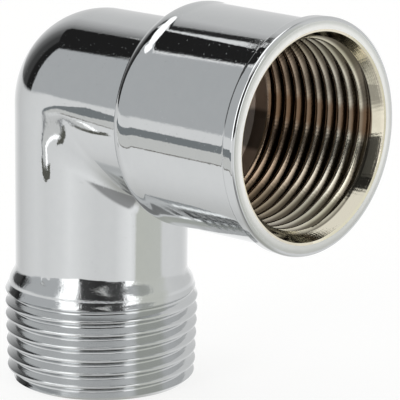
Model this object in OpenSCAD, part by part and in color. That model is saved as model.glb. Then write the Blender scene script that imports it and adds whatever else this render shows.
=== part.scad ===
// Street elbow, 90 degrees: R 3/4 taper thread below, Rp 3/4 threaded socket to the side.
// One solid brass forging. The origin is the centre of the male end face, +Z runs up the male
// axis and the socket opens along +X. Millimetres.

/* [Body] */
// Outer diameter of the tube between the male thread and the socket
tube_d = 23.6; // [23:0.1:24]
// Diameter of the waterway that is drilled from both ends
bore_d = 18.5; // [16:0.5:19]
// Height of the socket axis over the male end face
drop = 39.4; // [37:0.1:48]
// Distance of the socket face from the male axis
reach = 38.3; // [37.5:0.1:44]
// Bend radius of the centreline, which is nearly a square corner
bend_r = 1; // [0.5:0.1:2.5]

/* [Pipe thread] */
// Major diameter at the gauge plane
major_d = 26.441; // [26.441]
// Pitch, 14 threads to the inch
pitch = 1.814; // [1.814]
// Distance of the gauge plane from the male end face
gauge_length = 9.5; // [9:0.1:10]
// Threads on the male end
male_threads = 7; // [5:1:8]
// Height of the lowest crest over the male end face
first_crest = 1.1; // [0.9:0.05:1.2]

/* [Male end] */
// Largest diameter of the flared collar over the thread
collar_d = 25.6; // [25:0.1:26]
// Height of the flare from the collar to the tube
flare_h = 2.6; // [2:0.1:4]
// Outer diameter of the male end face, inside the lead chamfer
male_face_d = 24.2; // [23.5:0.1:24.6]

/* [Socket] */
// Outer diameter of the socket barrel
barrel_d = 29.1; // [28.8:0.1:31]
// Diameter over the rounded bead at the back of the barrel
bead_d = 29.7; // [29.4:0.1:32]
// Distance from the male axis to the back of the socket
back_x = 16.1; // [15.5:0.1:17]
// Radius of the rounded back shoulder
shoulder_r = 2.4; // [1.5:0.1:2.8]
// Diameter over the lip at the mouth
lip_d = 30.3; // [29.9:0.1:33]
// Length of the lip along the socket
lip_length = 1.6; // [1:0.1:2.5]
// Radius of the lip's front edge
lip_edge_r = 0.5; // [0.2:0.1:0.6]
// Diameter of the plain counterbore before the thread
counterbore_d = 26.6; // [26.5:0.05:26.8]
// Depth of the counterbore
counterbore_depth = 2.2; // [1.5:0.1:3]
// Threads in the socket
socket_threads = 9; // [7:1:9]
// Length of plain tapping bore behind the thread
tail_length = 2.1; // [1.5:0.1:2.4]

/* [Edges] */
// Chamfer at the mouth of the counterbore
mouth_chamfer = 0.4; // [0.2:0.1:0.6]
// Chamfer at the mouth of the waterway in the male end
bore_chamfer = 0.4; // [0.2:0.1:0.8]

/* [Hidden] */
$fn = 96;
eps = 0.01;
clear = 1;
tube_r = tube_d / 2;
bore_r = bore_d / 2;

// Whitworth form: 55 degree flanks, a sixth of the sharp height cut off crest and root.
half_angle = 27.5;
sharp_height = pitch / (2 * tan(half_angle));
thread_depth = sharp_height * 2 / 3;
land = pitch / 6;
flank = thread_depth * tan(half_angle);
taper = 1 / 32; // of radius over length, for 1 in 16 on the diameter
major_r = major_d / 2;
minor_r = major_r - thread_depth;

// The male crest follows the taper up to the gauge plane and is parallel above it.
function male_crest_r(z) = major_r - max(0, gauge_length - z) * taper;
function male_crest_z(i) = first_crest + i * pitch;

last_crest = male_crest_z(male_threads - 1);
collar_r = collar_d / 2;
runout_r = collar_r - 0.35;
runout_z = last_crest + land / 2 + (major_r - runout_r) * tan(half_angle);
collar_z = runout_z + 0.6;
flare_steps = 10;

barrel_r = barrel_d / 2;
bead_r = bead_d / 2;
lip_r = lip_d / 2;
bead_end = back_x + shoulder_r + 3.5;
lip_back = reach - lip_length;
lip_rise = 0.8;
arc_steps = 8;

counterbore_r = counterbore_d / 2;
thread_mouth = reach - counterbore_depth;
first_groove = thread_mouth - (counterbore_r - minor_r) * tan(half_angle) - land - flank - land / 2;
thread_end = first_groove - (socket_threads - 1) * pitch - land / 2 - flank;
tail_end = thread_end - tail_length;
drill_point = (minor_r - bore_r) * tan(31);

// A smooth step from a to b as t goes from 0 to 1.
function ease(a, b, t) = a + (b - a) * (1 - cos(180 * t)) / 2;

// Outline of the male end as [radius, height]: lead chamfer, crests, run-out and flare.
function male_outline() = concat(
    [[0, 0], [male_face_d / 2, 0]],
    [for (i = [0 : male_threads - 1]) each male_tooth(i)],
    [[runout_r, runout_z], [runout_r, runout_z + land]],
    [for (i = [0 : flare_steps]) let (t = i / flare_steps)
        [ease(collar_r, tube_r, t), collar_z + flare_h * t]],
    [[0, collar_z + flare_h]]
);

// One ridge: root, flank, crest land, flank. The lowest starts on the lead chamfer instead.
function male_tooth(i) = let (z = male_crest_z(i), r = male_crest_r(z), root = r - thread_depth)
    concat(
        i == 0 ? [] : [[root, z - land / 2 - flank]],
        [[r, z - land / 2], [r, z + land / 2]],
        i == male_threads - 1 ? [] : [[root, z + land / 2 + flank]]
    );

// Outline of the socket as [radius, distance along it]: shoulder, bead, barrel and lip.
function socket_outline() = concat(
    [[0, back_x]],
    [for (i = [0 : arc_steps]) let (a = 90 * i / arc_steps)
        [bead_r - shoulder_r * (1 - sin(a)), back_x + shoulder_r * (1 - cos(a))]],
    [for (i = [1 : arc_steps]) let (t = i / arc_steps)
        [ease(bead_r, barrel_r, t), back_x + shoulder_r + (bead_end - back_x - shoulder_r) * t]],
    [for (i = [0 : arc_steps]) let (t = i / arc_steps)
        [ease(barrel_r, lip_r, t), lip_back - lip_rise + lip_rise * t]],
    [for (i = [0 : arc_steps]) let (a = 90 * i / arc_steps)
        [lip_r - lip_edge_r * (1 - cos(a)), reach - lip_edge_r * (1 - sin(a))]],
    [[0, reach]]
);

// Outline of the space in the socket: mouth, counterbore, thread grooves, tail and drill point.
function socket_space() = concat(
    [[0, reach + clear], [counterbore_r + mouth_chamfer + clear, reach + clear]],
    [[counterbore_r + mouth_chamfer, reach], [counterbore_r, reach - mouth_chamfer]],
    [[counterbore_r, thread_mouth]],
    [[minor_r, thread_mouth - (counterbore_r - minor_r) * tan(half_angle)]],
    [for (i = [0 : socket_threads - 1]) each socket_groove(first_groove - i * pitch)],
    [[minor_r, tail_end], [bore_r, tail_end - drill_point], [0, tail_end - drill_point]]
);

function socket_groove(x) = [
    [minor_r, x + land / 2 + flank],
    [major_r, x + land / 2],
    [major_r, x - land / 2],
    [minor_r, x - land / 2 - flank]
];

// Turns a solid that stands on its end so that it lies along +X at the socket's height.
module along_socket() {
    translate([0, 0, drop]) rotate([0, 90, 0]) children();
}

// Quarter bend of a round section, from the male axis to the socket axis.
module bend(r) {
    translate([bend_r, 0, drop - bend_r]) rotate([90, 0, 0]) rotate([0, 0, 90])
        rotate_extrude(angle = 90) intersection() {
            translate([bend_r, 0]) circle(r);
            translate([0, -r]) square([bend_r + r, 2 * r]);
        }
}

module outer_skin() {
    rotate_extrude() polygon(male_outline());
    translate([0, 0, collar_z + flare_h - eps])
        cylinder(r = tube_r, h = drop - bend_r - collar_z - flare_h + eps);
    bend(tube_r);
    along_socket() translate([0, 0, bend_r]) cylinder(r = tube_r, h = back_x + shoulder_r - bend_r);
    along_socket() rotate_extrude() polygon(socket_outline());
}

module waterway() {
    translate([0, 0, -clear]) cylinder(r = bore_r, h = drop - bend_r + clear);
    translate([0, 0, -eps]) cylinder(r1 = bore_r + bore_chamfer + eps, r2 = bore_r, h = bore_chamfer + eps);
    bend(bore_r);
    along_socket() translate([0, 0, bend_r]) cylinder(r = bore_r, h = tail_end - bend_r);
    along_socket() rotate_extrude() polygon(socket_space());
}

// The one forged piece, machined and threaded at both ends.
module elbow_body() {
    color("gainsboro") difference() {
        outer_skin();
        waterway();
    }
}

elbow_body();
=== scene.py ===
"""Chrome-plated street elbow: the visual model, its finishes, its studio and its camera."""

import logging
import math
from collections.abc import Sequence
from dataclasses import dataclass, field
from enum import Enum

import bpy
import numpy as np
from mathutils import Matrix, Vector


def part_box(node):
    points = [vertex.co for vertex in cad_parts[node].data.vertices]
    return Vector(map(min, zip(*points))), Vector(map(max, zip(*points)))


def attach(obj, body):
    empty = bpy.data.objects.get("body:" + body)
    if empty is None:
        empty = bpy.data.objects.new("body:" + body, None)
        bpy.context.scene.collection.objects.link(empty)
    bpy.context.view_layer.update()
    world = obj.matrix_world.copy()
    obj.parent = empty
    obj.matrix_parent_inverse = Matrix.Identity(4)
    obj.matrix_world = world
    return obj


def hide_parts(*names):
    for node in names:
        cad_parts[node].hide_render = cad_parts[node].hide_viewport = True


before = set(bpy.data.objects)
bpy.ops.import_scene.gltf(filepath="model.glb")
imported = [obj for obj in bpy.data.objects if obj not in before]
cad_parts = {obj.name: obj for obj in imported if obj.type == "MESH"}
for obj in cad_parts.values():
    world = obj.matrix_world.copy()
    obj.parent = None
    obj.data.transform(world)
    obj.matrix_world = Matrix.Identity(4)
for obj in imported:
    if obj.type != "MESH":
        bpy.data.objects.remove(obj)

MM = 0.001
NODE = "elbow_body"
BODY = "root"
AROUND = 224  # Points in each ring of the skin.
EDGE_RING = 0.15  # Width in mm of the ring that ends a long face, so that its shading stays flat.
MIX_OFF, MIX_ON, MIX_RESULT = 6, 7, 2  # The Mix node's colour sockets.
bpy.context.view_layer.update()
log = logging.getLogger("street_elbow")

Tone = tuple[float, float, float]
Place = tuple[float, float, float]
Rail = Sequence[tuple[float, float]]
Stops = Sequence[tuple[float, Tone]]
Band = tuple[float, float, float]  # Where it begins and ends, and how soft its edges are.


class Axis(Enum):
    """The two axes that the elbow is turned about."""

    RISER = "male end, straight up"
    SOCKET = "socket, along +X"


# Sizes


@dataclass
class PipeThread:
    """The standard 55 degree pipe thread form, in millimetres."""

    major_r: float = 13.2205
    pitch: float = 1.814
    gauge_length: float = 9.5
    taper: float = 1 / 32
    depth_share: float = 0.6403
    round_share: float = 0.1373
    arc_points: int = 5
    half_angle: float = math.radians(27.5)
    depth: float = field(init=False)
    minor_r: float = field(init=False)
    round_r: float = field(init=False)

    def __post_init__(self) -> None:
        """Works the depth and the rounding out of the pitch."""
        self.depth = self.depth_share * self.pitch
        self.minor_r = self.major_r - self.depth
        self.round_r = self.round_share * self.pitch

    def arc(self) -> list[float]:
        """Distances from the middle of a crest or a root at which its round is drawn."""
        reach = math.pi / 2 - self.half_angle
        return [self.round_r * math.sin(a) for a in np.linspace(-reach, reach, self.arc_points)]

    def phases(self) -> list[float]:
        """Rising distances along one pitch, from a crest, at which the form is drawn."""
        half = self.pitch / 2
        return self.arc() + [half + a for a in self.arc()]

    def lead(self, angle: np.ndarray) -> np.ndarray:
        """How far a right-hand helix has climbed at each angle."""
        return self.pitch * angle / (2 * math.pi)

    def drop(self, along: np.ndarray) -> np.ndarray:
        """How far the form lies below its crest.

        Args:
            along: Distance along the axis from a crest's middle, at any turn.

        Returns:
            0 at a crest's middle and the full depth at a root's middle.
        """
        half = self.pitch / 2
        x = np.abs((along + half) % self.pitch - half)
        side = self.round_r * math.cos(self.half_angle)
        crest = self.round_r - np.sqrt(np.maximum(self.round_r**2 - np.minimum(x, side) ** 2, 0))
        root = self.depth - self.round_r
        root = root + np.sqrt(np.maximum(self.round_r**2 - np.minimum(half - x, side) ** 2, 0))
        lip = self.round_r * (1 - math.sin(self.half_angle))
        flank = lip + (x - side) / math.tan(self.half_angle)
        return np.where(x < side, crest, np.where(half - x < side, root, flank))


@dataclass
class ElbowSizes:
    """The elbow's sizes in millimetres. Those with a place in the CAD box are read from it."""

    tube_r: float = 11.8
    bore_r: float = 9.25
    bend_r: float = 1.0
    reach: float = field(init=False)
    lip_r: float = field(init=False)
    drop: float = field(init=False)

    def __post_init__(self) -> None:
        """Reads the reach, the lip and the socket's height from the CAD box."""
        _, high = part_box(NODE)
        self.reach = high.x / MM
        self.lip_r = high.y / MM
        self.drop = high.z / MM - self.lip_r


def ease(start: float, end: float, t: np.ndarray | float) -> np.ndarray | float:
    """Goes smoothly from start to end as t goes from 0 to 1, level at both ends.

    Args:
        start: The value at t = 0.
        end: The value at t = 1.
        t: Where to read it; held within 0 and 1.

    Returns:
        The value at each t.
    """
    t = np.clip(t, 0.0, 1.0)
    return start + (end - start) * (1 - np.cos(np.pi * t)) / 2


# Shaping


def only(thing: bpy.types.Object) -> None:
    """Selects one object and nothing else."""
    bpy.ops.object.select_all(action="DESELECT")
    thing.select_set(True)
    bpy.context.view_layer.objects.active = thing


class Lathe:
    """Turns a shell about one of the elbow's axes, ring by ring, in edit mode."""

    def __init__(self, name: str, axis: Axis, drop: float) -> None:
        """Sets up the lathe.

        Args:
            name: The new object's name.
            axis: What it is turned about.
            drop: The socket's height above the male end face, in millimetres.
        """
        self.name = name
        self.axis = axis
        self.drop = drop
        self.r = 0.0
        self.along = 0.0

    def centre(self) -> Vector:
        """The middle of the ring in hand, in metres."""
        if self.axis is Axis.RISER:
            return Vector((0, 0, self.along)) * MM
        return Vector((self.along, 0, self.drop)) * MM

    def start(self, r: float, along: float) -> None:
        """Adds the first ring and enters edit mode.

        Args:
            r: Its radius.
            along: Its place along the axis.
        """
        self.r, self.along = r, along
        turn = (0, 0, 0) if self.axis is Axis.RISER else (0, math.pi / 2, 0)
        bpy.ops.object.select_all(action="DESELECT")
        bpy.ops.mesh.primitive_circle_add(
            vertices=AROUND, radius=r * MM, location=self.centre(), rotation=turn
        )
        bpy.ops.object.transform_apply(location=True, rotation=True, scale=True)
        bpy.context.active_object.name = self.name
        bpy.ops.object.mode_set(mode="EDIT")
        bpy.ops.mesh.select_all(action="SELECT")

    def to(self, r: float, along: float) -> None:
        """Extrudes the ring in hand to a new place and radius.

        Args:
            r: The new radius.
            along: The new place along the axis.
        """
        before = self.centre()
        self.along = along
        move = self.centre() - before
        bpy.ops.mesh.extrude_edges_move(TRANSFORM_OT_translate={"value": move})
        grow = r / self.r
        value = (grow, grow, 1) if self.axis is Axis.RISER else (1, grow, grow)
        bpy.ops.transform.resize(value=value, center_override=self.centre())
        self.r = r

    def take(self) -> bpy.types.Object:
        """Leaves edit mode and hands the shell over."""
        bpy.ops.object.mode_set(mode="OBJECT")
        return bpy.context.active_object


class RingSkin:
    """A shell drawn ring by ring, for the helices and the mitred bend that a lathe can't turn."""

    def __init__(self, name: str, drop: float) -> None:
        """Lays out the angles of a ring.

        Args:
            name: The new object's name.
            drop: The socket's height above the male end face, in millimetres.
        """
        self.name = name
        self.drop = drop
        self.angle = np.linspace(0, 2 * math.pi, AROUND + 1)
        self.rings: list[np.ndarray] = []

    def ring(self, axis: Axis, r: np.ndarray | float, along: np.ndarray | float) -> None:
        """Adds a ring round one of the axes.

        Args:
            axis: What it goes round.
            r: Its radius, the same all round or one for each angle.
            along: Its place along the axis, in the same way.
        """
        r = r + 0 * self.angle
        along = along + 0 * self.angle
        across, side = r * np.cos(self.angle), r * np.sin(self.angle)
        if axis is Axis.RISER:
            self.rings.append(np.stack([across, side, along], axis=1))
        else:
            self.rings.append(np.stack([along, side, self.drop - across], axis=1))

    def take(self) -> bpy.types.Object:
        """Makes the rings into a mesh, in metres, and hands it over."""
        points = np.stack(self.rings) * MM
        rows, columns = points.shape[:2]
        index = np.arange(rows * columns).reshape(rows, columns)
        quads = np.stack([index[:-1, :-1], index[:-1, 1:], index[1:, 1:], index[1:, :-1]], axis=-1)
        mesh = bpy.data.meshes.new(self.name)
        mesh.from_pydata(points.reshape(-1, 3).tolist(), [], quads.reshape(-1, 4).tolist())
        shell = bpy.data.objects.new(self.name, mesh)
        bpy.context.scene.collection.objects.link(shell)
        return shell


def helical(
    thread: PipeThread, angle: np.ndarray, low: float, high: float, crest: float
) -> list[np.ndarray]:
    """Places along a threaded stretch of the rings that follow its helix.

    Args:
        thread: The thread form.
        angle: The angles of a ring.
        low: Where the stretch begins.
        high: Where it ends.
        crest: Where a crest's middle lies at angle 0.

    Returns:
        For each ring, its place at each angle, held within the stretch.
    """
    first = math.floor((low - crest) / thread.pitch) - 2
    last = math.ceil((high - crest) / thread.pitch) + 1
    rows = [
        np.clip(crest + turn * thread.pitch + phase + thread.lead(angle), low, high)
        for turn in range(first, last + 1)
        for phase in thread.phases()
    ]
    return [row for row in rows if row.max() > low and row.min() < high]


# Shader maths


@dataclass(frozen=True)
class Grain:
    """A noise in a finish: its lumps to the millimetre, their detail and their rise in mm."""

    scale: float
    detail: float = 2.0
    roughness: float = 0.5
    rise: float = 0.0
    stretch: Place | None = None


class Wire:
    """A shader socket that takes part in Python arithmetic."""

    def __init__(self, shader: "Shader", socket: bpy.types.NodeSocket) -> None:
        """Keeps the socket and the shader it belongs to."""
        self.shader = shader
        self.socket = socket

    def math(self, operation: str, *others: "Wire | float") -> "Wire":
        """Adds a Math node after this socket.

        Args:
            operation: The node's operation.
            others: Its second and third values.

        Returns:
            The result.
        """
        inputs = dict(enumerate((self, *others)))
        return self.shader.node("ShaderNodeMath", {"operation": operation}, inputs)

    def __add__(self, other: "Wire | float") -> "Wire":
        """This plus other."""
        return self.math("ADD", other)

    __radd__ = __add__

    def __mul__(self, other: "Wire | float") -> "Wire":
        """This times other."""
        return self.math("MULTIPLY", other)

    __rmul__ = __mul__

    def __sub__(self, other: "Wire | float") -> "Wire":
        """This less other."""
        return self.math("SUBTRACT", other)

    def __rsub__(self, other: float) -> "Wire":
        """Other less this."""
        return (self * -1.0) + other

    def __truediv__(self, other: "Wire | float") -> "Wire":
        """This over other."""
        return self.math("DIVIDE", other)

    def band(self, low: float, high: float, soft: float) -> "Wire":
        """1 between low and high and 0 outside, over a soft edge."""
        rise = self.step(low - soft / 2, low + soft / 2)
        return rise * (1 - self.step(high - soft / 2, high + soft / 2))

    def step(self, low: float, high: float) -> "Wire":
        """Rises smoothly from 0 at low to 1 at high."""
        return self.shader.node(
            "ShaderNodeMapRange",
            {"interpolation_type": "SMOOTHSTEP"},
            {"Value": self, "From Min": low, "From Max": high},
        )


Feed = Wire | float | Sequence[float]


class Shader:
    """A node tree that is written as expressions."""

    def __init__(self, tree: bpy.types.NodeTree) -> None:
        """Empties the tree."""
        self.tree = tree
        tree.nodes.clear()

    def node(
        self,
        kind: str,
        settings: dict[str, object] | None = None,
        inputs: dict[str | int, Feed] | None = None,
        output: str | int = 0,
    ) -> Wire:
        """Adds one node.

        Args:
            kind: The node's type.
            settings: Its own properties, set first; "stops" fills a colour ramp.
            inputs: Values or links for its sockets, by name or number.
            output: The socket to hand back.

        Returns:
            The chosen output.
        """
        made = self.tree.nodes.new(kind)
        for name, value in (settings or {}).items():
            if name == "stops":
                self.fill(made.color_ramp, value)
            else:
                setattr(made, name, value)
        for name, value in (inputs or {}).items():
            if isinstance(value, Wire):
                self.tree.links.new(value.socket, made.inputs[name])
            else:
                made.inputs[name].default_value = value
        return Wire(self, made.outputs[output]) if made.outputs else Wire(self, None)

    def fill(self, ramp: bpy.types.ColorRamp, stops: Stops) -> None:
        """Writes a ramp's stops, in rising order of place."""
        while len(ramp.elements) < len(stops):
            ramp.elements.new(1.0)
        for element, (place, tone) in zip(ramp.elements, stops):
            element.position = place
            element.color = (*tone, 1)

    def split(self, vector: Wire) -> tuple[Wire, Wire, Wire]:
        """The three numbers of a vector."""
        parts = self.node("ShaderNodeSeparateXYZ", None, {0: vector})
        outputs = parts.socket.node.outputs
        return parts, Wire(self, outputs[1]), Wire(self, outputs[2])

    def join(self, x: Feed, y: Feed, z: Feed) -> Wire:
        """A vector of three numbers."""
        return self.node("ShaderNodeCombineXYZ", None, {0: x, 1: y, 2: z})

    def place(self) -> Wire:
        """The point on the object, in millimetres."""
        here = self.node("ShaderNodeTexCoord", None, None, "Object")
        return self.node("ShaderNodeVectorMath", {"operation": "SCALE"}, {0: here, "Scale": 1 / MM})

    def noise(self, vector: Wire, grain: Grain) -> Wire:
        """The grain's noise, from 0 to 1."""
        if grain.stretch:
            inputs = {0: vector, 1: grain.stretch}
            vector = self.node("ShaderNodeVectorMath", {"operation": "MULTIPLY"}, inputs)
        inputs = {"Vector": vector, "Scale": grain.scale}
        inputs |= {"Detail": grain.detail, "Roughness": grain.roughness}
        return self.node("ShaderNodeTexNoise", None, inputs)

    def mix(self, amount: Wire, off: Feed, on: Feed) -> Wire:
        """A colour that goes from off to on with the amount."""
        off, on = (end if isinstance(end, Wire) else (*end, 1) for end in (off, on))
        inputs = {0: amount, MIX_OFF: off, MIX_ON: on}
        return self.node("ShaderNodeMix", {"data_type": "RGBA"}, inputs, MIX_RESULT)

    def ramp(self, amount: Wire, stops: Stops) -> Wire:
        """A colour read from a row of stops."""
        return self.node("ShaderNodeValToRGB", {"stops": stops}, {0: amount})

    def bump(self, height: Wire) -> Wire:
        """A normal from a height in millimetres."""
        inputs = {"Height": height, "Strength": 1.0, "Distance": MM}
        return self.node("ShaderNodeBump", None, inputs)


def new_shader(name: str) -> tuple[bpy.types.Material, Shader]:
    """A new material and its empty shader."""
    material = bpy.data.materials.new(name)
    material.use_nodes = True
    return material, Shader(material.node_tree)


def metal(shader: Shader, colour: Feed, roughness: Feed, normal: Wire, bare: Feed = 1.0) -> None:
    """Ends a shader in metal.

    Args:
        shader: The shader to end.
        colour: Its colour.
        roughness: Its roughness.
        normal: Its normal.
        bare: 1 for bare metal, less where a chalky bloom dulls it.
    """
    inputs = {"Base Color": colour, "Metallic": bare, "Roughness": roughness, "Normal": normal}
    surface = shader.node("ShaderNodeBsdfPrincipled", None, inputs)
    shader.node("ShaderNodeOutputMaterial", None, {"Surface": surface})


# Finishes


@dataclass(frozen=True)
class Nick:
    """A small hollow or burr in a surface, in millimetres."""

    place: Place
    width: float
    depth: float
    floor: float = 0.35


@dataclass(frozen=True)
class ChromePlate:
    """Polished chrome with a faint orange peel, ripples over the collar and drawn thread flanks."""

    colour: Tone = (0.615, 0.627, 0.63)
    haze: Tone = (0.58, 0.595, 0.602)
    roughness: float = 0.025
    thread_roughness: float = 0.11
    thread_top: float = 12.9
    thread_edge: float = 0.3
    collar_top: float = 16.4
    collar_edge: float = 0.5
    peel: Grain = Grain(2.6, 3.0, 0.6, 0.0036)
    swell: Grain = Grain(0.32, 1.0, rise=0.004)
    lines: Grain = Grain(1.0, 2.0, 0.6, 0.012, (0.05, 0.05, 5.5))
    ragged: Grain = Grain(3.2, 3.0, 0.65, 0.018, (1.0, 1.0, 1.3))
    pits: Grain = Grain(3.6, 1.0, rise=0.005)
    pit_edge: tuple[float, float] = (0.73, 0.80)
    smear: Grain = Grain(0.6, 4.0, 0.6)
    smear_roughness: float = 0.03
    nicks: tuple[Nick, ...] = (Nick((1.4, -11.75, 15.9), 0.9, 0.10),)

    def make(self, name: str) -> bpy.types.Material:
        """Writes the shader.

        Args:
            name: The material's name.

        Returns:
            The material.
        """
        material, shader = new_shader(name)
        place = shader.place()
        _, _, z = shader.split(place)
        top, edge = self.thread_top, self.thread_edge
        on_thread = 1 - z.step(top - edge, top + edge)
        on_collar = z.band(top, self.collar_top, self.collar_edge)
        peel = shader.noise(place, self.peel) * self.peel.rise
        swell = shader.noise(place, self.swell) * self.swell.rise
        pits = shader.noise(place, self.pits).step(*self.pit_edge) * self.pits.rise
        lines = shader.noise(place, self.lines) * on_thread * self.lines.rise
        ragged = shader.noise(place, self.ragged) * on_collar * self.ragged.rise
        height = peel + swell - pits + lines + ragged
        for nick in self.nicks:
            inputs = {0: place, 1: nick.place}
            far = shader.node("ShaderNodeVectorMath", {"operation": "DISTANCE"}, inputs, 1)
            height = height + far.step(nick.width * nick.floor, nick.width) * nick.depth
        smear = shader.noise(place, self.smear)
        colour = shader.mix(smear, self.colour, self.haze)
        roughness = smear * self.smear_roughness + self.roughness
        roughness = roughness + on_thread * (self.thread_roughness - self.roughness)
        metal(shader, colour, roughness, shader.bump(height))
        return material


@dataclass(frozen=True)
class TurnedFace:
    """An end face as it leaves the lathe: pale satin metal with fine rings round its axis."""

    axis: Axis
    drop: float
    colour: Tone = (0.97, 0.97, 0.955)
    worn: Tone = (0.88, 0.88, 0.86)
    rim: Tone = (0.66, 0.67, 0.65)
    rim_r: float = 14.2
    rim_edge: float = 0.3
    # Painted shade that darkens the face towards one side: the bottom of the socket face, the -X
    # side of the male face.
    painted_shade: Tone = (0.42, 0.43, 0.41)
    painted_shade_from: tuple[float, float] = (-14.5, -3)
    painted_shade_share: float = 0.5
    rings: Grain = Grain(1.0, 3.0, 0.6, 0.012)
    rings_to_mm: float = 6.0
    ring_wear: float = 0.3
    wear: Grain = Grain(0.8, 3.0)
    patch_wear: float = 0.7
    grain: Grain = Grain(5.0, 3.0, 0.6, 0.006)
    roughness: float = 0.36
    uneven: float = 0.12
    bare: float = 0.5

    def make(self, name: str) -> bpy.types.Material:
        """Writes the shader.

        Args:
            name: The material's name.

        Returns:
            The material.
        """
        material, shader = new_shader(name)
        place = shader.place()
        x, y, z = shader.split(place)
        side = x if self.axis is Axis.RISER else z - self.drop
        r = (side * side + y * y).math("SQRT")
        rings = shader.noise(shader.join(r * self.rings_to_mm, 0.0, 0.0), self.rings)
        grain = shader.noise(place, self.grain)
        wear = shader.noise(place, self.wear) * self.patch_wear + rings * self.ring_wear
        colour = shader.mix(wear, self.colour, self.worn)
        on_rim = r.step(self.rim_r - self.rim_edge, self.rim_r + self.rim_edge)
        colour = shader.mix(on_rim, colour, self.rim)
        # Painted shade: the face gets darker towards its low side.
        low = (1 - side.step(*self.painted_shade_from)) * self.painted_shade_share
        colour = shader.mix(low, colour, self.painted_shade)
        roughness = grain * self.uneven + self.roughness - self.uneven / 2
        height = rings * self.rings.rise + grain * self.grain.rise
        metal(shader, colour, roughness, shader.bump(height), self.bare)
        return material


@dataclass(frozen=True)
class PlatedBore:
    """Thin nickel over brass in the bore: cream at the mouth and tan deep inside, with tool marks.
    Over it lie painted shade towards the bottom and in the thread's valleys, a painted shadow
    across the thread and a painted highlight low on the counterbore wall.

    Lengths are in millimetres. The bands are in degrees round the bore, 0 at its +Y side and
    90 at the top.
    """

    drop: float
    reach: float
    # Near-black painted shade at the bottom of the bore.
    painted_bottom_shade: Tone = (0.10, 0.075, 0.055)
    deep: Tone = (0.34, 0.25, 0.18)
    middle: Tone = (0.46, 0.40, 0.32)
    pale: Tone = (0.60, 0.585, 0.51)
    mouth: Tone = (0.82, 0.79, 0.64)
    # The tone at the mouth's edge; it is also painted as a highlight low on the counterbore wall.
    edge: Tone = (0.92, 0.87, 0.72)
    # Painted shade in the thread's valleys.
    painted_valley_shade: Tone = (0.05, 0.035, 0.022)
    # A dark brown painted shadow across the thread, in a band round the bore.
    painted_crest_shadow: Tone = (0.13, 0.075, 0.04)
    tail: Tone = (0.52, 0.41, 0.33)
    tail_dark: Tone = (0.15, 0.12, 0.095)
    tail_x: float = 19.2
    tail_edge: float = 0.15
    tail_band: Band = (-31, -5, 4)
    tail_roughness: float = 0.3
    tail_bloom: float = 0.75
    # Where the painted shadow lies round the bore, in degrees.
    crest_shadow_band: Band = (-9, 8, 7)
    crest_shadow_share: float = 0.8
    crest_r: float = 12.06
    # Depths past the crest radius over which the painted valley shade comes in.
    valley: tuple[float, float] = (0.08, 0.55)
    valley_shade_share: float = 0.85
    wall_depth: tuple[float, float] = (1.6, 1.4)
    # Below these degrees round the bore the counterbore wall gets a painted highlight.
    wall_highlight_below: tuple[float, float] = (-42, -32)
    wall_polish: float = 0.09
    depth: float = 25.0
    stain: Grain = Grain(0.5, 4.0, 0.6)
    stain_share: float = 0.35
    rings: Grain = Grain(1.0, 3.0, 0.6, 0.010, (7.0, 0.08, 0.08))
    grain: Grain = Grain(3.0, 3.0, 0.6, 0.006)
    chatter: float = 150.0
    chatter_lean: float = 3.0
    chatter_rise: float = 0.0012
    roughness: float = 0.16
    uneven: float = 0.10

    def stops(self) -> Stops:
        """The bore's tones from its bottom, 0, to its mouth, 1: the plating's tan and cream,
        darkened towards the bottom by painted shade.
        """
        return (
            (0.0, self.painted_bottom_shade),
            (0.13, self.painted_bottom_shade),
            (0.16, self.deep),
            (0.36, self.deep),
            (0.55, self.middle),
            (0.76, self.pale),
            (0.92, self.mouth),
            (0.975, self.mouth),
            (0.99, self.edge),
        )

    def make(self, name: str) -> bpy.types.Material:
        """Writes the shader.

        Args:
            name: The material's name.

        Returns:
            The material.
        """
        material, shader = new_shader(name)
        place = shader.place()
        x, y, z = shader.split(place)
        level = (x - (self.reach - self.depth)) / self.depth
        stain = shader.noise(place, self.stain) * self.stain_share
        # The depth ramp: the plating's tones under painted shade that darkens towards the bottom.
        colour = shader.mix(stain, shader.ramp(level, self.stops()), self.deep)
        up = z - self.drop
        turn = y.math("ARCTAN2", up)
        degrees = turn * -math.degrees(1) + 90.0
        r = (up * up + y * y).math("SQRT")
        on_wall = x.step(*(self.reach - depth for depth in self.wall_depth))
        # Painted shade that darkens the thread's valleys.
        in_valley_shade = r.step(*(self.crest_r + depth for depth in self.valley)) * (1 - on_wall)
        colour = shader.mix(in_valley_shade * self.valley_shade_share, colour, self.painted_valley_shade)
        # A painted shadow across the thread near the bore's +Y side.
        in_crest_shadow = degrees.band(*self.crest_shadow_band) * (1 - on_wall) * self.crest_shadow_share
        colour = shader.mix(in_crest_shadow, colour, self.painted_crest_shadow)
        # A painted highlight low on the counterbore wall.
        colour = shader.mix(on_wall * (1 - degrees.step(*self.wall_highlight_below)), colour, self.edge)
        in_tail = 1 - x.step(self.tail_x - self.tail_edge, self.tail_x + self.tail_edge)
        brushed = shader.mix(degrees.band(*self.tail_band), self.tail, self.tail_dark)
        colour = shader.mix(in_tail, colour, brushed)
        rings = shader.noise(place, self.rings)
        ticks = (turn * self.chatter + x * self.chatter_lean).math("SINE")
        grain = shader.noise(place, self.grain)
        height = rings * self.rings.rise + ticks * self.chatter_rise + grain * self.grain.rise
        roughness = grain * self.uneven + self.roughness - self.uneven / 2
        roughness = roughness + in_tail * self.tail_roughness - on_wall * self.wall_polish
        metal(shader, colour, roughness, shader.bump(height), 1 - in_tail * self.tail_bloom)
        return material


# The elbow


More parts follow.
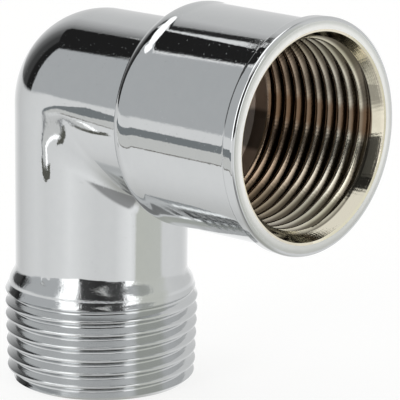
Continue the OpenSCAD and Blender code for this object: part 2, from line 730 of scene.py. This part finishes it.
@dataclass
class MaleEnd:
    """The taper-threaded male end, from its face up to the flare into the tube."""

    sizes: ElbowSizes
    thread: PipeThread
    face_r: float = 12.1
    face_chamfer: float = 0.9
    face_rings: int = 5
    chamfer_share: float = 0.2
    bore_chamfer: float = 0.4
    first_crest: float = 0.42
    neck_z: float = 12.44
    thread_top: float = 13.5
    runout_drop: float = 1.6
    runout_length: float = 1.2
    collar_r: float = 12.68
    collar_z: float = 13.55
    flare_end: float = 15.85
    flare_swell: float = 1.0
    flare_front: float = math.radians(306)
    # Each wave's rise in mm, how often it comes round, and where it starts.
    flare_waves: tuple[tuple[float, int, float], ...] = (
        (0.14, 5, 0.6),
        (0.09, 11, 0.0),
        (0.05, 23, 0.0),
    )
    flare_steps: int = 18
    flare_top: float = 17.6

    def radius(self, z: np.ndarray, angle: np.ndarray) -> np.ndarray:
        """Radius of the threaded stretch at each angle of a ring.

        Args:
            z: The ring's height at each angle.
            angle: The ring's angles.

        Returns:
            The radius, with the lead chamfer, the taper and the run-out.
        """
        t = self.thread
        crest = t.major_r - np.maximum(t.gauge_length - z, 0) * t.taper
        steep = (t.major_r - t.depth * self.chamfer_share - self.face_r) / self.face_chamfer
        fall = np.clip((z - self.neck_z) / (self.collar_z - self.neck_z), 0, 1)
        blank = np.minimum(crest, self.face_r + z * steep)
        blank = np.minimum(blank, t.major_r - (t.major_r - self.collar_r) * fall)
        along = z - self.first_crest - t.lead(angle)
        root = np.floor(along / t.pitch) + 0.5
        centre = root * t.pitch + self.first_crest + t.lead(angle)
        runout = self.thread_top - self.runout_drop
        fade = 1 - ease(0, 1, (centre - runout) / self.runout_length)
        cut = crest - t.drop(along) * fade
        return np.where(fade <= 0, blank, np.minimum(blank, cut))

    def flare_height(self, angle: np.ndarray) -> np.ndarray:
        """Where the flare meets the tube: ground by hand, so wavy and higher at the front."""
        front = np.clip(np.cos(angle - self.flare_front), 0, 1) ** 2
        wave = sum(rise * np.sin(count * angle + start) for rise, count, start in self.flare_waves)
        return self.flare_end + self.flare_swell * front + wave

    def build_face(self) -> bpy.types.Object:
        """Turns the flat end face."""
        lathe = Lathe("male_face", Axis.RISER, self.sizes.drop)
        lathe.start(self.sizes.bore_r + self.bore_chamfer, 0.0)
        inner = self.sizes.bore_r + self.bore_chamfer
        for r in np.linspace(inner, self.face_r, self.face_rings)[1:]:
            lathe.to(r, 0.0)
        return lathe.take()

    def build_bore_chamfer(self) -> bpy.types.Object:
        """Turns the chamfer at the waterway's edge."""
        lathe = Lathe("waterway_chamfer", Axis.RISER, self.sizes.drop)
        lathe.start(self.sizes.bore_r + self.bore_chamfer, 0.0)
        lathe.to(self.sizes.bore_r, self.bore_chamfer)
        return lathe.take()

    def build_thread(self) -> bpy.types.Object:
        """Cuts the helix, its taper, its lead-in and its run-out."""
        skin = RingSkin("male_thread", self.sizes.drop)
        angle = skin.angle
        skin.ring(Axis.RISER, self.face_r, 0.0)
        for z in helical(self.thread, angle, 0.0, self.thread_top, self.first_crest):
            skin.ring(Axis.RISER, self.radius(z, angle), z)
        top = self.thread_top + 0 * angle
        skin.ring(Axis.RISER, self.radius(top, angle), top)
        end = self.flare_height(angle)
        for t in np.linspace(0, 1, self.flare_steps)[1:]:
            z = self.thread_top + (end - self.thread_top) * t
            rise = (z - self.collar_z) / (end - self.collar_z)
            skin.ring(Axis.RISER, ease(self.collar_r, self.sizes.tube_r, rise), z)
        skin.ring(Axis.RISER, self.sizes.tube_r, self.flare_top)
        return skin.take()


@dataclass
class Bend:
    """The mitred quarter bend between the two axes, round outside and close in the crotch."""

    sizes: ElbowSizes
    crotch_r: float = 3.0
    water_crotch_r: float = 0.8
    blend: float = 9.0
    steps: int = 28

    def fillet(self, across: np.ndarray, crotch: float) -> np.ndarray:
        """Radius of the turn at each place across the section.

        Args:
            across: Distance from the axis towards the crotch.
            crotch: Radius in the crotch.

        Returns:
            The bend's own radius outside, easing into the crotch's fillet.
        """
        outer = self.sizes.bend_r - across
        near = np.maximum(self.blend - np.abs(outer - crotch), 0)
        return np.maximum(outer, crotch) + near**2 / (4 * self.blend)

    def build(
        self, name: str, r: float, crotch: float, foot: float, mouth: float
    ) -> bpy.types.Object:
        """Draws the bend for one radius, with the straight runs up to it.

        Args:
            name: The new object's name.
            r: Radius of its section.
            crotch: Radius of the fillet in the crotch.
            foot: Height at which it begins on the male end.
            mouth: Distance along the socket's axis at which it ends.

        Returns:
            The shell.
        """
        s = self.sizes
        skin = RingSkin(name, s.drop)
        across = r * np.cos(skin.angle)
        radius = self.fillet(across, crotch)
        skin.ring(Axis.RISER, r, foot)
        for a in np.linspace(0, math.pi / 2, self.steps + 1):
            x = across + radius * (1 - math.cos(a))
            z = s.drop - across - radius * (1 - math.sin(a))
            skin.rings.append(np.stack([x, r * np.sin(skin.angle), z], axis=1))
        skin.ring(Axis.SOCKET, r, mouth - EDGE_RING)
        skin.ring(Axis.SOCKET, r, mouth)
        return skin.take()


@dataclass
class Socket:
    """The threaded socket: its rounded back, bead, barrel, lip, counterbore and parallel thread."""

    sizes: ElbowSizes
    thread: PipeThread
    back_x: float = 16.1
    fillet_r: float = 0.5
    shoulder_r: float = 2.4
    bead_r: float = 14.8
    bead_run: float = 1.9
    barrel_back_r: float = 14.66
    barrel_r: float = 14.5
    lip_length: float = 1.6
    lip_rise: float = 0.8
    lip_edge_r: float = 0.5
    mouth_r: float = 13.6
    wall_r: float = 13.3
    throat_r: float = 12.58
    mouth_chamfer: float = 0.15
    counterbore_depth: float = 1.5
    crest_shift: float = -0.35
    lead_in: float = 0.6
    runout_length: float = 1.0
    tail_start: float = 19.13
    tail_length: float = 2.1
    drill_angle: float = math.radians(31)
    fillet_points: int = 6
    shoulder_points: int = 14
    ease_points: int = 12
    edge_points: int = 8
    face_rings: int = 5

    def stub_end(self) -> float:
        """Where the plain stub ends and the fillet under the rounded back begins."""
        return self.back_x - self.fillet_r

    def tail_end(self) -> float:
        """Where the cone under the drilled tail meets the waterway."""
        fall = (self.thread.minor_r - self.sizes.bore_r) * math.tan(self.drill_angle)
        return self.tail_start - self.tail_length - fall

    def build_outside(self) -> bpy.types.Object:
        """Turns the outside, from the stub to the edge of the lip."""
        s = self.sizes
        lathe = Lathe("socket_outside", Axis.SOCKET, s.drop)
        lathe.start(s.tube_r, self.stub_end())
        for a in np.linspace(0, math.pi / 2, self.fillet_points)[1:]:
            r = s.tube_r + self.fillet_r * (1 - math.cos(a))
            lathe.to(r, self.back_x - self.fillet_r * (1 - math.sin(a)))
        for a in np.linspace(0, math.pi / 2, self.shoulder_points):
            r = self.bead_r - self.shoulder_r * (1 - math.sin(a))
            lathe.to(r, self.back_x + self.shoulder_r * (1 - math.cos(a)))
        front = self.back_x + self.shoulder_r
        for t in np.linspace(0, 1, self.ease_points)[1:]:
            lathe.to(ease(self.bead_r, self.barrel_back_r, t), front + self.bead_run * t)
        lip = s.reach - self.lip_length
        start = lip - self.lip_rise
        slope = (self.barrel_r - self.barrel_back_r) / (start - front - self.bead_run)
        lathe.to(self.barrel_back_r + slope * EDGE_RING, front + self.bead_run + EDGE_RING)
        lathe.to(self.barrel_r - slope * EDGE_RING, start - EDGE_RING)
        for t in np.linspace(0, 1, self.ease_points):
            lathe.to(ease(self.barrel_r, s.lip_r, t), lip - self.lip_rise * (1 - t))
        edge = self.lip_edge_r
        lathe.to(s.lip_r, lip + EDGE_RING)
        lathe.to(s.lip_r, s.reach - edge - EDGE_RING)
        for a in np.linspace(0, math.pi / 2, self.edge_points):
            lathe.to(s.lip_r - edge * (1 - math.cos(a)), s.reach - edge * (1 - math.sin(a)))
        return lathe.take()

    def build_face(self) -> bpy.types.Object:
        """Turns the flat end face."""
        s = self.sizes
        lathe = Lathe("socket_face", Axis.SOCKET, s.drop)
        outer, inner = s.lip_r - self.lip_edge_r, self.mouth_r
        lathe.start(outer, s.reach)
        for r in np.linspace(outer, inner, self.face_rings)[1:]:
            lathe.to(r, s.reach)
        return lathe.take()

    def build_mouth(self) -> bpy.types.Object:
        """Turns the chamfer and the plain conical counterbore."""
        s = self.sizes
        lathe = Lathe("socket_mouth", Axis.SOCKET, s.drop)
        lathe.start(self.mouth_r, s.reach)
        lathe.to(self.wall_r, s.reach - self.mouth_chamfer)
        lathe.to(self.throat_r, s.reach - self.counterbore_depth)
        return lathe.take()

    def radius(self, x: np.ndarray, angle: np.ndarray, crest: float) -> np.ndarray:
        """Radius of the threaded stretch at each angle of a ring.

        Args:
            x: The ring's distance from the male axis at each angle.
            angle: The ring's angles.
            crest: Where a crest's middle lies at angle 0.

        Returns:
            The radius, with the chamfer at the counterbore and the run-out at the tail.
        """
        t = self.thread
        mouth = self.sizes.reach - self.counterbore_depth
        cut = t.major_r - t.drop(x - crest - t.lead(angle) + t.pitch / 2)
        kept = ease(0, 1, (x - self.tail_start) / self.runout_length)
        cut = t.minor_r + (cut - t.minor_r) * kept
        near = np.clip((x - mouth + self.lead_in) / self.lead_in, 0, 1)
        cone = t.minor_r + near * (self.throat_r - t.minor_r)
        return np.maximum(cut, cone)

    def build_thread(self) -> bpy.types.Object:
        """Cuts the parallel thread, with its lead-in and its run-out."""
        skin = RingSkin("socket_thread", self.sizes.drop)
        angle, t = skin.angle, self.thread
        mouth = self.sizes.reach - self.counterbore_depth
        crest = mouth + self.crest_shift
        skin.ring(Axis.SOCKET, self.throat_r, mouth)
        for x in reversed(helical(t, angle, self.tail_start, mouth, crest + t.pitch / 2)):
            skin.ring(Axis.SOCKET, self.radius(x, angle, crest), x)
        skin.ring(Axis.SOCKET, t.minor_r, self.tail_start)
        return skin.take()

    def build_tail(self) -> bpy.types.Object:
        """Turns the plain drilled tail and its cone down to the waterway."""
        s, t = self.sizes, self.thread
        lathe = Lathe("socket_tail", Axis.SOCKET, s.drop)
        lathe.start(t.minor_r, self.tail_start)
        lathe.to(t.minor_r, self.tail_start - self.tail_length)
        lathe.to(s.bore_r, self.tail_end())
        return lathe.take()


@dataclass
class StreetElbow:
    """The whole elbow: one forging, joined from its turned, cut and bent stretches."""

    sizes: ElbowSizes = field(default_factory=ElbowSizes)
    thread: PipeThread = field(default_factory=PipeThread)
    seam: float = 0.002
    speck: float = 1e-5
    crease: float = math.radians(32)

    def finishes(self) -> dict[str, bpy.types.Material]:
        """Makes the elbow's finishes, by name."""
        s = self.sizes
        return {
            "chrome": ChromePlate().make("chrome_plate"),
            "male_face": TurnedFace(Axis.RISER, s.drop).make("turned_male_face"),
            "socket_face": TurnedFace(Axis.SOCKET, s.drop).make("turned_socket_face"),
            "bore": PlatedBore(s.drop, s.reach).make("plated_bore"),
        }

    def stretches(self) -> list[tuple[str, bpy.types.Object]]:
        """Builds each stretch, with the name of its finish."""
        s = self.sizes
        male, bend, socket = MaleEnd(s, self.thread), Bend(s), Socket(s, self.thread)
        tube = (s.tube_r, bend.crotch_r, male.flare_top, socket.stub_end())
        bore = (s.bore_r, bend.water_crotch_r, male.bore_chamfer, socket.tail_end())
        return [
            ("chrome", male.build_thread()),
            ("male_face", male.build_face()),
            ("chrome", bend.build("bend_outside", *tube)),
            ("chrome", socket.build_outside()),
            ("socket_face", socket.build_face()),
            ("bore", socket.build_mouth()),
            ("bore", socket.build_thread()),
            ("bore", socket.build_tail()),
            ("bore", bend.build("bend_waterway", *bore)),
            ("bore", male.build_bore_chamfer()),
        ]

    def build(self) -> bpy.types.Object:
        """Joins the stretches into one closed skin and ties it to the frame.

        Returns:
            The elbow.
        """
        finishes = self.finishes()
        stretches = self.stretches()
        for finish, stretch in stretches:
            stretch.data.materials.append(finishes[finish])
            count = len(stretch.data.polygons)
            log.info("stretch %s: %d faces, %s", stretch.name, count, finish)
        only(stretches[0][1])
        for _, stretch in stretches:
            stretch.select_set(True)
        bpy.ops.object.join()
        elbow = bpy.context.active_object
        elbow.name = "street_elbow"
        self.close(elbow)
        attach(elbow, BODY)
        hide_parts(NODE)
        return elbow

    def close(self, elbow: bpy.types.Object) -> None:
        """Merges the seams and points the faces outwards.

        Args:
            elbow: The joined stretches.
        """
        bpy.ops.object.mode_set(mode="EDIT")
        bpy.ops.mesh.select_all(action="SELECT")
        bpy.ops.mesh.remove_doubles(threshold=self.seam * MM)
        bpy.ops.mesh.dissolve_degenerate(threshold=self.speck * MM)
        bpy.ops.mesh.normals_make_consistent(inside=False)
        bpy.ops.object.mode_set(mode="OBJECT")
        bpy.ops.object.shade_smooth_by_angle(angle=self.crease)


# The studio


@dataclass(frozen=True)
class Flag:
    """A card or strip light near the elbow, which only its reflections show. Edges in mm."""

    name: str
    lower: tuple[Place, ...]
    upper: tuple[Place, ...]
    tone: Tone

    def build(self) -> bpy.types.Object:
        """Spans the two edges and gives the card its tone.

        Returns:
            The card.
        """
        count = len(self.lower)
        points = [Vector(point) * MM for point in (*self.lower, *self.upper)]
        quads = [(i, i + 1, count + i + 1, count + i) for i in range(count - 1)]
        mesh = bpy.data.meshes.new(self.name)
        mesh.from_pydata(points, [], quads)
        card = bpy.data.objects.new(self.name, mesh)
        bpy.context.scene.collection.objects.link(card)
        material, shader = new_shader(self.name)
        glow = shader.node("ShaderNodeEmission", None, {"Color": (*self.tone, 1), "Strength": 1.0})
        shader.node("ShaderNodeOutputMaterial", None, {"Surface": glow})
        card.data.materials.append(material)
        card.visible_camera = False
        card.visible_diffuse = False
        card.visible_shadow = False
        return card


def grey(level: float) -> Tone:
    """A neutral tone."""
    return (level, level, level)


@dataclass(frozen=True)
class Patch:
    """A patch on the tent, between two bearings and two elevations in degrees."""

    turn: Band
    height: Band
    tone: Tone


@dataclass
class Surround:
    """The soft white tent round the elbow, with its bounce card, softboxes and black frames.

    The tones run round the tent by bearing in degrees, 0 along -Y and 90 along +X. The upper ones
    lean over to one side above lean_from.
    """

    lean_from: float = 40.4
    lean: float = 0.5
    horizon: tuple[float, float] = (-1.2, 0.8)
    floor: tuple[float, float] = (-75, -38)
    floor_tone: Tone = (0.42, 0.42, 0.38)
    floor_share: float = 0.75
    front_floor: tuple[float, float] = (-34, -20)
    front_floor_turn: Band = (14, 78, 8)
    front_floor_tone: Tone = grey(0.30)
    front_floor_share: float = 0.85
    roof: tuple[float, float] = (46, 58)
    roof_tone: Tone = grey(0.74)
    card_rim: Patch = Patch((-69.0, -67.4, 0.5), (41.5, 49, 0.5), grey(1.25))
    dark_behind: Patch = Patch((-166, -106, 8), (55, 84, 6), grey(0.24))
    frame_top: Patch = Patch((-98, -69.2, 0.5), (38.3, 52, 0.5), grey(0.02))
    softbox_left: Patch = Patch((-135, -106, 2), (48.5, 60, 0.8), grey(1.8))
    softbox_right: Patch = Patch((-67, -30, 2), (48.5, 60, 0.8), grey(1.8))
    softbox: Patch = Patch((-135, -30, 3), (52, 78, 0.8), grey(1.8))
    dark_ahead: Patch = Patch((18, 78, 6), (40, 54, 3), grey(0.02))
    camera_tone: Tone = grey(1.0)
    lower: tuple[tuple[float, Tone], ...] = (
        (-180, grey(0.89)),
        (-136, grey(1.06)),
        (-118, grey(0.99)),
        (-90, grey(0.78)),
        (-69, grey(0.92)),
        (-51, grey(1.00)),
        (-33, grey(0.96)),
        (-9, grey(1.03)),
        (3, grey(1.12)),
        (21, grey(1.01)),
        (39, grey(0.94)),
        (63, grey(0.95)),
        (75, grey(1.09)),
        (84, grey(1.17)),
        (90.5, grey(1.04)),
        (92.5, (0.74, 0.75, 0.69)),
        (130, (0.75, 0.76, 0.71)),
        (135, grey(0.95)),
        (150, grey(0.96)),
        (180, grey(0.89)),
    )
    upper: tuple[tuple[float, Tone], ...] = (
        (-180, grey(0.80)),
        (-136, grey(0.79)),
        (-118, grey(0.74)),
        (-108, grey(0.50)),
        (-98, grey(0.20)),
        (-88, grey(0.07)),
        (-80, grey(0.07)),
        (-78, grey(0.02)),
        (-68.4, grey(0.02)),
        (-67.6, (0.585, 0.60, 0.61)),
        (-10, (0.60, 0.615, 0.625)),
        (-7.5, grey(2.1)),
        (14.5, grey(2.2)),
        (17.5, grey(0.10)),
        (44, grey(0.04)),
        (75, grey(0.10)),
        (77.5, grey(2.2)),
        (90, grey(2.2)),
        (92.5, (0.76, 0.77, 0.71)),
        (132, (0.77, 0.78, 0.73)),
        (135, grey(0.88)),
        (180, grey(0.80)),
    )

    def round_tent(self, shader: Shader, turn: Wire, tones: Stops) -> Wire:
        """Tones by bearing in degrees, all the way round."""
        return shader.ramp((turn + 180.0) / 360.0, [((a + 180) / 360, tone) for a, tone in tones])

    def lay(self, shader: Shader, tent: Wire, patch: Patch, turn: Wire, height: Wire) -> Wire:
        """Lays one patch over the tent so far."""
        return shader.mix(turn.band(*patch.turn) * height.band(*patch.height), tent, patch.tone)

    def build(self) -> None:
        """Writes the surround as the world's shader."""
        world = bpy.data.worlds.new("studio_tent")
        world.use_nodes = True
        bpy.context.scene.world = world
        shader = Shader(world.node_tree)
        way = shader.node("ShaderNodeTexCoord", None, None, "Generated")
        x, y, z = shader.split(way)
        turn = x.math("ARCTAN2", y * -1.0) * math.degrees(1)
        height = z.math("ARCSINE") * math.degrees(1)
        leant = turn + (height - self.lean_from).math("MAXIMUM", 0.0) * self.lean
        low = self.round_tent(shader, turn, self.lower)
        high = self.round_tent(shader, leant, self.upper)
        high = self.lay(shader, high, self.card_rim, leant, height)
        floor = (1 - height.step(*self.floor)) * self.floor_share
        low = shader.mix(floor, low, self.floor_tone)
        front = (1 - height.step(*self.front_floor)) * turn.band(*self.front_floor_turn)
        low = shader.mix(front * self.front_floor_share, low, self.front_floor_tone)
        tent = shader.mix(height.step(*self.horizon), low, high)
        tent = shader.mix(height.step(*self.roof), tent, self.roof_tone)
        tent = self.lay(shader, tent, self.dark_behind, turn, height)
        tent = self.lay(shader, tent, self.frame_top, leant, height)
        for patch in (self.softbox_left, self.softbox_right, self.softbox, self.dark_ahead):
            tent = self.lay(shader, tent, patch, turn, height)
        seen = shader.node("ShaderNodeLightPath", None, None, "Is Camera Ray")
        tent = shader.mix(seen, tent, self.camera_tone)
        glow = shader.node("ShaderNodeBackground", None, {"Color": tent, "Strength": 1.0})
        shader.node("ShaderNodeOutputWorld", None, {"Surface": glow})


@dataclass(frozen=True)
class OverheadCard:
    """A card over the elbow, placed by where its reflection lies on a barrel. Lengths in mm.

    Each edge has two corners, given as the place along the barrel and the climb of the
    reflection in degrees.
    """

    name: str
    lower: Rail
    upper: Rail
    r: float
    height: float
    tone: Tone
    rounds: int = 4

    def corner(self, x: float, climb: float) -> Place:
        """Where one corner hangs.

        Args:
            x: The place of its reflection along the barrel.
            climb: The climb of that reflection in degrees.

        Returns:
            The corner in millimetres.
        """
        eye = StudioCamera().place() / MM
        drop = ElbowSizes().drop
        lean = math.radians(climb) / 2
        for _ in range(self.rounds):
            start = Vector((x, -self.r * math.cos(lean), drop + self.r * math.sin(lean)))
            view = (eye - start).normalized()
            lean = (math.radians(climb) + math.atan2(view.z, -view.y)) / 2
        way = view.reflect(Vector((0, -math.cos(lean), math.sin(lean)))) * -1
        return tuple(start + way * ((self.height - start.z) / way.z))

    def flag(self) -> Flag:
        """The card itself, spanned between its corners."""
        edges = (tuple(self.corner(*end) for end in edge) for edge in (self.lower, self.upper))
        return Flag(self.name, *edges, self.tone)


@dataclass
class Studio:
    """The light table, the tent and the few cards that stand close to the elbow."""

    table_r: float = 1500.0
    table_tone: Tone = (0.97, 0.97, 0.965)
    table_glow: float = 0.82
    table_albedo: float = 0.25
    table_points: int = 96
    board_y: float = -27.0
    barrel_r: float = 14.6
    strip_height: float = 200.0
    strip_gap: float = 1.0

    def board(self, name: str, lower: Rail, upper: Rail, tone: Tone) -> Flag:
        """A flat of the board and post that stand beside the elbow.

        Args:
            name: Its name.
            lower: Its lower or left edge, as x and z.
            upper: Its upper or right edge, in the same way.
            tone: Its brightness.

        Returns:
            The card.
        """
        edges = (tuple((x, self.board_y, z) for x, z in edge) for edge in (lower, upper))
        return Flag(name, *edges, tone)

    def overhead(self) -> tuple[OverheadCard, ...]:
        """The strip light that shows along the barrel, its black frame and its far end."""
        barrel, stub = self.barrel_r, ElbowSizes().tube_r
        hang, gap = self.strip_height, self.strip_gap
        return (
            OverheadCard(
                "strip_light",
                lower=((21.0, 97.8), (37.5, 95.0)),
                upper=((21.0, 98.9), (37.5, 101.9)),
                r=barrel,
                height=hang,
                tone=grey(1.05),
            ),
            OverheadCard(
                "strip_frame",
                lower=((20.6, 98.9), (38.0, 102.1)),
                upper=((21.2, 105.6), (38.0, 109.6)),
                r=barrel,
                height=hang + gap,
                tone=grey(0.03),
            ),
            OverheadCard(
                "strip_end",
                lower=((11.8, 100.3), (13.7, 100.0)),
                upper=((11.8, 101.6), (13.7, 101.9)),
                r=stub,
                height=hang - gap,
                tone=grey(0.9),
            ),
        )

    def cards(self) -> list[Flag]:
        """The cards and strips that stand close to the elbow."""
        sill = ((-12.3, 33.2), (-6.0, 31.7), (0.0, 29.9), (40.0, 29.9))
        line = ((-12.3, 33.7), (-6.0, 32.1), (0.0, 30.35), (40.0, 30.35))
        rail = ((-17.0, 34.6), (-12.3, 35.6), (-6.5, 34.6), (0.0, 34.9), (40.0, 34.9))
        top = ((-17.0, 35.6), (-12.3, 36.9), (-6.5, 39.0), (0.0, 37.6), (40.0, 37.6))
        face = ((-12.3, 33.7), (-12.3, 33.7), (-6.0, 32.1), (0.0, 30.35), (40.0, 30.35))
        left = ((-10.8, 26.8), (-12.4, 30.4), (-17.6, 35.0))
        outer = ((-10.2, 26.8), (-11.7, 30.4), (-16.6, 34.8))
        inner = ((-7.9, 26.8), (-8.8, 30.2), (-9.8, 31.2))
        glow = ((-6.8, 26.8), (-7.7, 30.2), (-8.8, 31.0))
        foot = ((-11.2, 25.6), (-8.6, 24.9), (-5.4, 25.9))
        heel = ((-12.4, 28.2), (-8.4, 27.3), (-5.2, 27.9))
        return [
            self.board("board_lower_edge", sill, line, (0.22, 0.21, 0.19)),
            self.board("board_face", face, rail, (0.80, 0.80, 0.78)),
            self.board("board_top", rail, top, (0.26, 0.28, 0.29)),
            self.board("post_edge", left, outer, (0.22, 0.23, 0.24)),
            self.board("post_face", outer, inner, (0.82, 0.82, 0.81)),
            self.board("post_light", inner, glow, grey(2.0)),
            self.board("post_foot", foot, heel, (0.14, 0.14, 0.12)),
            *(card.flag() for card in self.overhead()),
        ]

    def build_table(self) -> bpy.types.Object:
        """Makes the light table's round top, which the camera and soft light see."""
        bpy.ops.object.select_all(action="DESELECT")
        bpy.ops.mesh.primitive_circle_add(
            vertices=self.table_points, radius=self.table_r * MM, fill_type="NGON"
        )
        table = bpy.context.active_object
        table.name = "light_table"
        material, shader = new_shader("light_table")
        inputs = {"Color": (*self.table_tone, 1), "Strength": self.table_glow}
        glow = shader.node("ShaderNodeEmission", None, inputs)
        inputs = {"Color": (*grey(self.table_albedo), 1)}
        matt = shader.node("ShaderNodeBsdfDiffuse", None, inputs)
        both = shader.node("ShaderNodeAddShader", None, {0: glow, 1: matt})
        shader.node("ShaderNodeOutputMaterial", None, {"Surface": both})
        table.data.materials.append(material)
        table.visible_glossy = False
        return table

    def build(self) -> None:
        """Sets up the tent, the table and the cards."""
        Surround().build()
        log.info("stage %s", self.build_table().name)
        for card in self.cards():
            log.info("stage %s", card.build().name)
        bpy.context.scene.view_settings.view_transform = "Standard"


@dataclass
class StudioCamera:
    """The camera, placed from the middle of the elbow's box. Lengths in mm, angles in degrees."""

    azimuth: float = 43.7307
    elevation: float = 13.6736
    roll: float = 0.7448
    right: float = 4.33
    up: float = -0.30
    back: float = 311.0
    lens: float = 211.07
    sensor: float = 36.0
    nearest: float = 10.0

    def axes(self) -> tuple[Vector, Vector, Vector]:
        """Its directions before the roll: right, up and back."""
        az, el = math.radians(self.azimuth), math.radians(self.elevation)
        back = Vector((math.sin(az) * math.cos(el), -math.cos(az) * math.cos(el), math.sin(el)))
        right = Vector((math.cos(az), math.sin(az), 0))
        return right, back.cross(right), back

    def place(self) -> Vector:
        """Where it stands, in metres."""
        right, up, back = self.axes()
        low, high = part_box(NODE)
        return (low + high) / 2 + (right * self.right + up * self.up + back * self.back) * MM

    def build(self) -> bpy.types.Object:
        """Adds the camera and makes it the scene's own.

        Returns:
            The camera.
        """
        right, up, back = self.axes()
        roll = math.radians(self.roll)
        camera = bpy.data.objects.new("camera", bpy.data.cameras.new("camera"))
        bpy.context.scene.collection.objects.link(camera)
        camera.location = self.place()
        level = math.cos(roll) * right + math.sin(roll) * up
        upright = math.cos(roll) * up - math.sin(roll) * right
        camera.rotation_euler = Matrix((level, upright, back)).transposed().to_euler()
        camera.data.sensor_width = self.sensor
        camera.data.lens = self.lens
        camera.data.clip_start = self.nearest * MM
        bpy.context.scene.camera = camera
        return camera


def main() -> None:
    """Builds the elbow, the studio and the camera, in that order."""
    logging.basicConfig(level=logging.INFO, format="%(name)s: %(message)s")
    elbow = StreetElbow().build()
    log.info("piece %s: %d faces", elbow.name, len(elbow.data.polygons))
    Studio().build()
    log.info("camera %s", StudioCamera().build().name)


if __name__ == "__main__":
    main()
